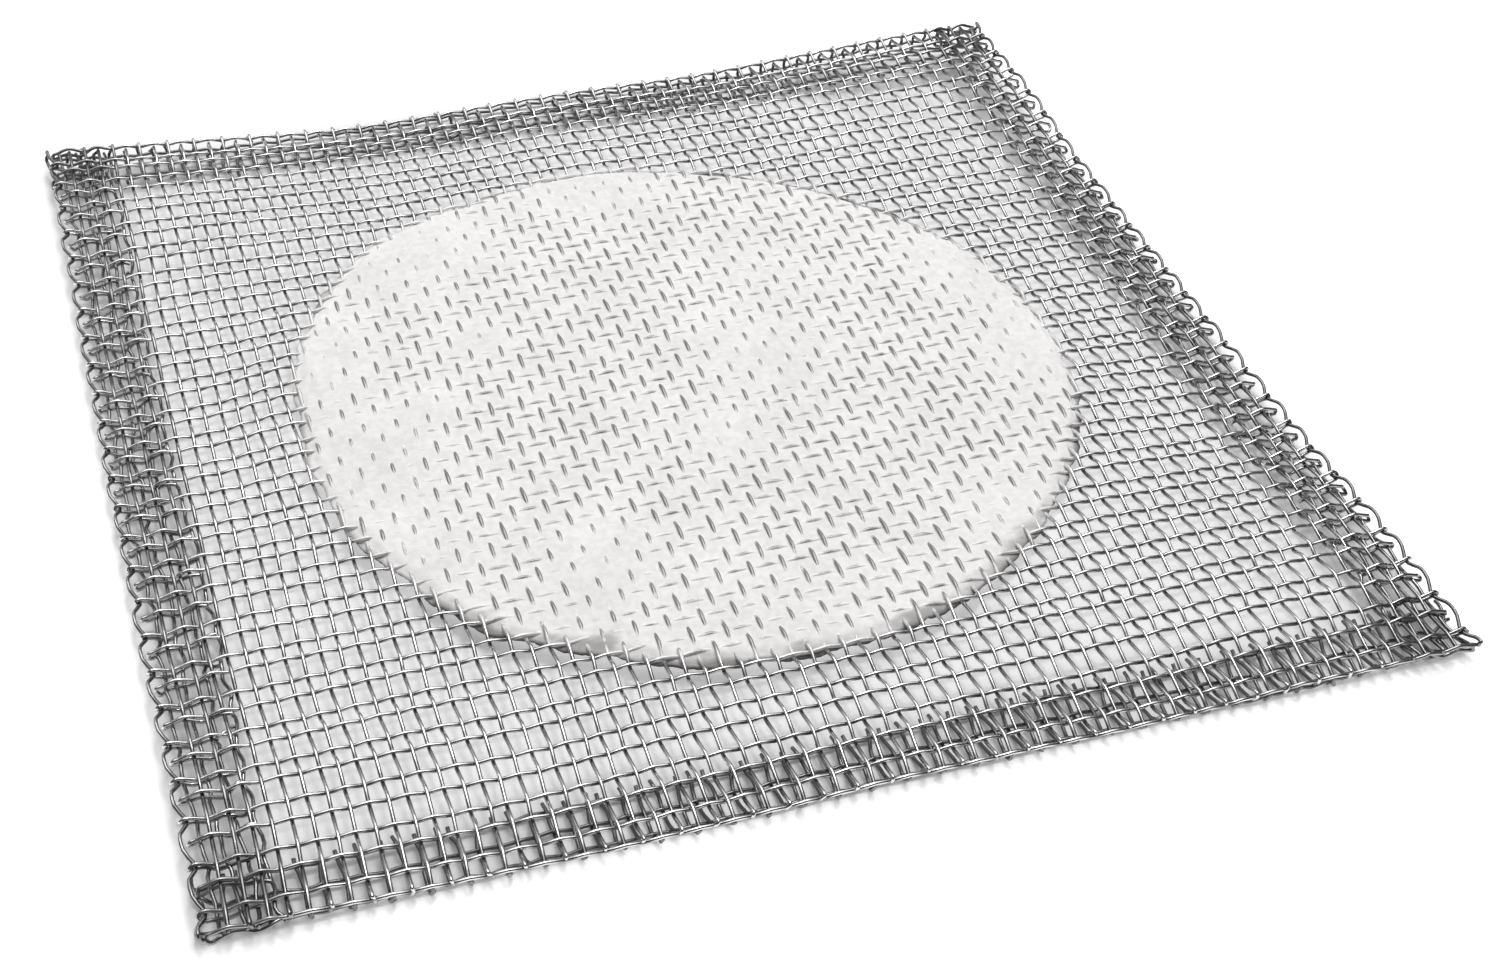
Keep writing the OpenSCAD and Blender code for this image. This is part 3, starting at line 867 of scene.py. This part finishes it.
# Pale floor and soft lamps, in metres and watts
stage = {
    "floorHalf": 3.0,  # half of the floor's width
    "floorColor": (0.84, 0.84, 0.84, 1),
    # how much the floor is whitened outside, under the mesh, under the hems and under the disc: less under
    # the mesh and the hems, a painted shadow, and more under the disc, a painted light that hides its
    # shadow
    "whitening": {"outside": 0.7, "mesh": 0.2, "hems": 0.05, "disc": 0.76},
    "hems": (53 * mm, 57 * mm),  # how far out the painted shadow of the hems begins, and where it is whole
    "edge": (62 * mm, 65 * mm),  # the same for the white floor outside
    "backEdge": (62 * mm, 71 * mm),  # the floor close behind the raised back edge is whitened less, a painted shadow
    "frontMargin": 2.5 * mm,  # how much nearer the white floor comes at the front
    "discBlur": 4 * mm,
    "lamps": (
        {"name": "Overhead Softbox", "location": (0.05, 0.28, 0.9), "size": (1.2, 1.2), "energy": 8.6},
        {"name": "Key Softbox", "location": (0.1, 0.2, 0.95), "size": (0.22, 0.22), "energy": 2.6},
        {"name": "Back Softbox", "location": (-0.2, 1.2, 0.6), "size": (1.4, 0.7), "energy": 1.5},
    ),
    "world": (0.75, 0.75, 0.76, 1), "worldStrength": 0.11,
}


def makeFloor():
    mesh = bpy.data.meshes.new("floor")
    half = stage["floorHalf"]
    corners = [(-half, -half, 0), (half, -half, 0), (half, half, 0), (-half, half, 0)]
    mesh.from_pydata(corners, [], [(0, 1, 2, 3)])
    floor = bpy.data.objects.new("floor", mesh)
    bpy.context.scene.collection.objects.link(floor)
    material, tree, shader = newMaterial("Pale Floor")
    shader.inputs["Base Color"].default_value = stage["floorColor"]
    shader.inputs["Roughness"].default_value = 1.0
    shader.inputs["Specular IOR Level"].default_value = 0.0
    path = tree.nodes.new("ShaderNodeLightPath")
    seen = calc(tree, "ADD", path.outputs["Is Camera Ray"], path.outputs["Is Glossy Ray"])
    seen = calc(tree, "MINIMUM", calc(tree, "ADD", seen, path.outputs["Is Transmission Ray"]), 1)
    shader.inputs["Emission Color"].default_value = (1, 1, 1, 1)
    position = tree.nodes.new("ShaderNodeTexCoord").outputs["Object"]
    x, y, _ = place(tree, "ShaderNodeSeparateXYZ", Vector=position).outputs
    out = calc(tree, "SUBTRACT", stage["frontMargin"], y)
    out = calc(tree, "MAXIMUM", calc(tree, "ABSOLUTE", x), out)
    outside = calc(tree, "MAXIMUM", ramp(tree, out, *stage["edge"]), ramp(tree, y, *stage["backEdge"]))
    white = stage["whitening"]
    # painted shadow: the floor is whitened less under the mesh and less still under the hems
    level = ramp(tree, calc(tree, "MAXIMUM", out, y), *stage["hems"], white["mesh"], white["hems"])
    level = calc(tree, "MULTIPLY_ADD", outside, white["outside"] - white["hems"], level)
    # painted light: the floor under the disc is whitened more, which hides the disc's shadow
    away = calcVector(tree, "DISTANCE", position, disc["center"] * Vector((1, 1, 0)))
    underDisc = ramp(tree, away, *fromRim(-stage["discBlur"], stage["discBlur"]), white["disc"], 0.0)
    level = calc(tree, "MAXIMUM", level, underDisc)
    tree.links.new(calc(tree, "MULTIPLY", seen, level), shader.inputs["Emission Strength"])
    # seen from below it is clear, and shows the underside of the gauze
    clear = tree.nodes.new("ShaderNodeBsdfTransparent")
    choice = tree.nodes.new("ShaderNodeMixShader")
    below = tree.nodes.new("ShaderNodeNewGeometry").outputs["Backfacing"]
    for socket, source in zip(choice.inputs, (below, shader.outputs[0], clear.outputs[0])):
        tree.links.new(source, socket)
    tree.links.new(choice.outputs[0], tree.nodes["Material Output"].inputs["Surface"])
    mesh.materials.append(material)


def makeLight(name, location, size, energy):
    data = bpy.data.lights.new(name, "AREA")
    data.shape = "RECTANGLE"
    data.size, data.size_y = size
    data.energy = energy
    lamp = bpy.data.objects.new(name, data)
    lamp.location = location
    lamp.rotation_euler = (-Vector(location)).to_track_quat("-Z", "Y").to_euler()
    bpy.context.scene.collection.objects.link(lamp)


def makeStage():
    makeFloor()
    for lamp in stage["lamps"]:
        makeLight(**lamp)
    world = bpy.data.worlds.new("Studio")
    bpy.context.scene.world = world
    world.use_nodes = True
    background = world.node_tree.nodes["Background"]
    background.inputs["Color"].default_value = stage["world"]
    background.inputs["Strength"].default_value = stage["worldStrength"]
    bpy.context.scene.view_settings.view_transform = "Standard"


print("Setting up the camera, the floor and the lamps")
makeCamera()
makeStage()
print("Mixing the finishes")
handledSurface = buildHandledSurface()
ceramicLevelGroup = buildCeramicLevel()
steel = makeSteel()
ceramic = makeCeramic()

handledSheet = buildHandledSheet()
wovenWires = buildWovenWires(handledSheet)
for family in (warp, weft):
    print("Weaving the", family["name"], "wires")
    for k in range(math.ceil(family["count"] / family["perNode"])):
        first = k * family["perNode"]
        count = min(family["perNode"], family["count"] - first)
        weaveWires(wovenWires, f"{family['name']}Wires{k + 1:02d}",
                   f"{family['name']}_wires_{k + 1:02d}", family, first, count)

print("Weaving the wires held in the hems")
for hem in hems:
    weaveWires(wovenWires, **hem)

print("Pressing the ceramic disc")
makeDisc()
